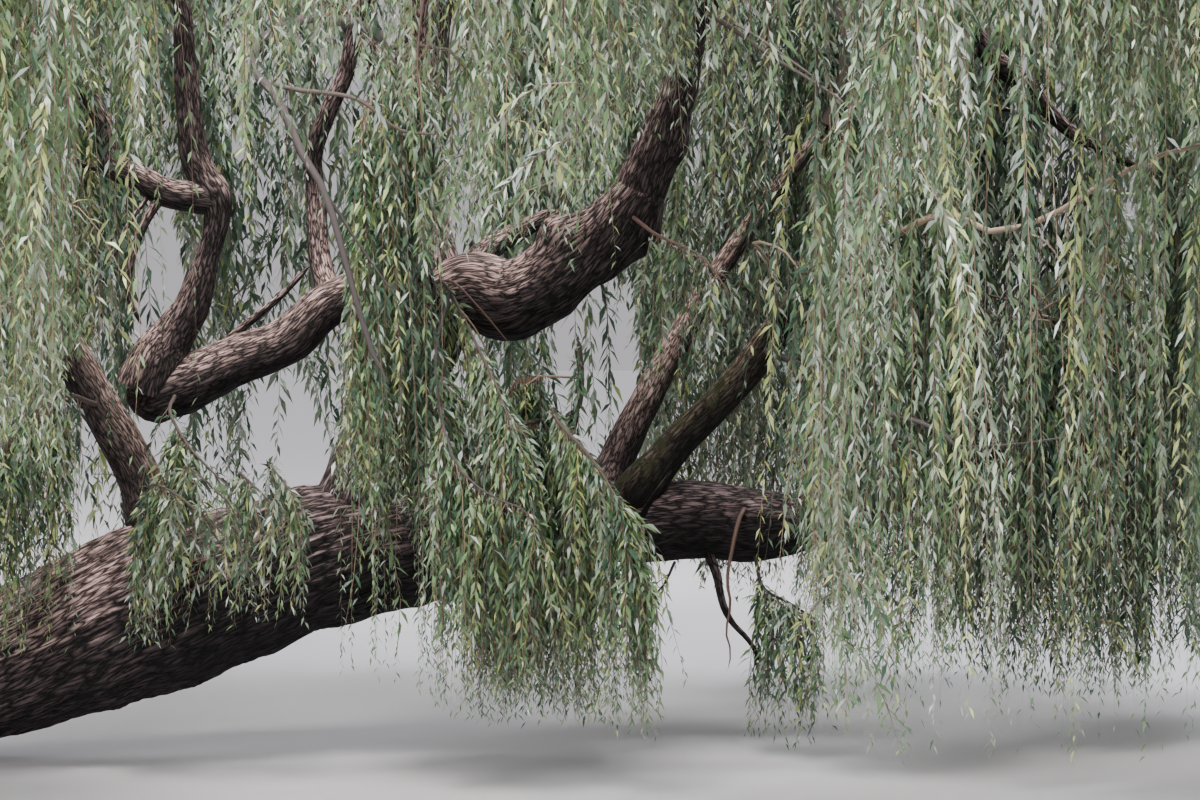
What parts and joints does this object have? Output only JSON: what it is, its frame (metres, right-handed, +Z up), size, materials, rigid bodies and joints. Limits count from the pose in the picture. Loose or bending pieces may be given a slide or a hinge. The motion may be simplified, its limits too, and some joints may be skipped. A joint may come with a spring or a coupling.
{
  "type": "weeping willow tree",
  "caption": "Old weeping willow leaning low from its foot, with a forked trunk, arching boughs and curtains of hanging foliage on every side.",
  "frame": {"origin": "ground level, in the flat cut under the trunk", "axes": "+X the way the trunk leans, +Y to the far side of the tree, +Z up"},
  "size_m": [12.7462, 11.0751, 9.7414],
  "materials": {
    "bark": "deeply furrowed dark grey-brown bark, pinkish where it is lit",
    "pale_bark": "lighter brown furrowed bark",
    "mossy_bark": "brown bark with a green film of moss",
    "foliage": "narrow grey-green leaves on thin tan hanging twigs"
  },
  "bodies": {
    "root": {"trunk": "bark", "lower_bough": "bark", "upper_stem": "bark", "elbow_bough": "bark", "elbow_riser": "bark", "crown_right_bough": "bark", "east_bough": "bark", "front_right_bough": "bark", "leader": "bark", "left_bough": "bark", "left_riser": "bark", "crown_left_bough": "bark", "front_left_bough": "bark", "left_side_branch": "bark", "far_left_bough": "pale_bark", "mossy_bough": "mossy_bark", "far_side_bough": "pale_bark", "back_right_bough": "bark", "right_bough": "bark", "back_bough": "bark", "back_left_bough": "bark", "crown_front_bough": "bark", "front_bough": "bark", "crown_back_bough": "bark", "fork_branch": "bark", "drape_branch": "bark", "west_curtain": "foliage", "front_left_curtain": "foliage", "front_curtain": "foliage", "front_right_curtain": "foliage", "east_curtain": "foliage", "back_right_curtain": "foliage", "back_curtain": "foliage", "back_left_curtain": "foliage", "crown_left": "foliage", "crown_top": "foliage", "crown_right": "foliage", "crown_front": "foliage", "crown_back": "foliage", "fork_curtain": "foliage", "drape_curtain": "foliage", "mossy_curtain": "foliage", "low_curtain": "foliage", "right_curtain": "foliage", "far_side_curtain": "foliage", "left_side_curtain": "foliage"}
  },
  "joints": []
}
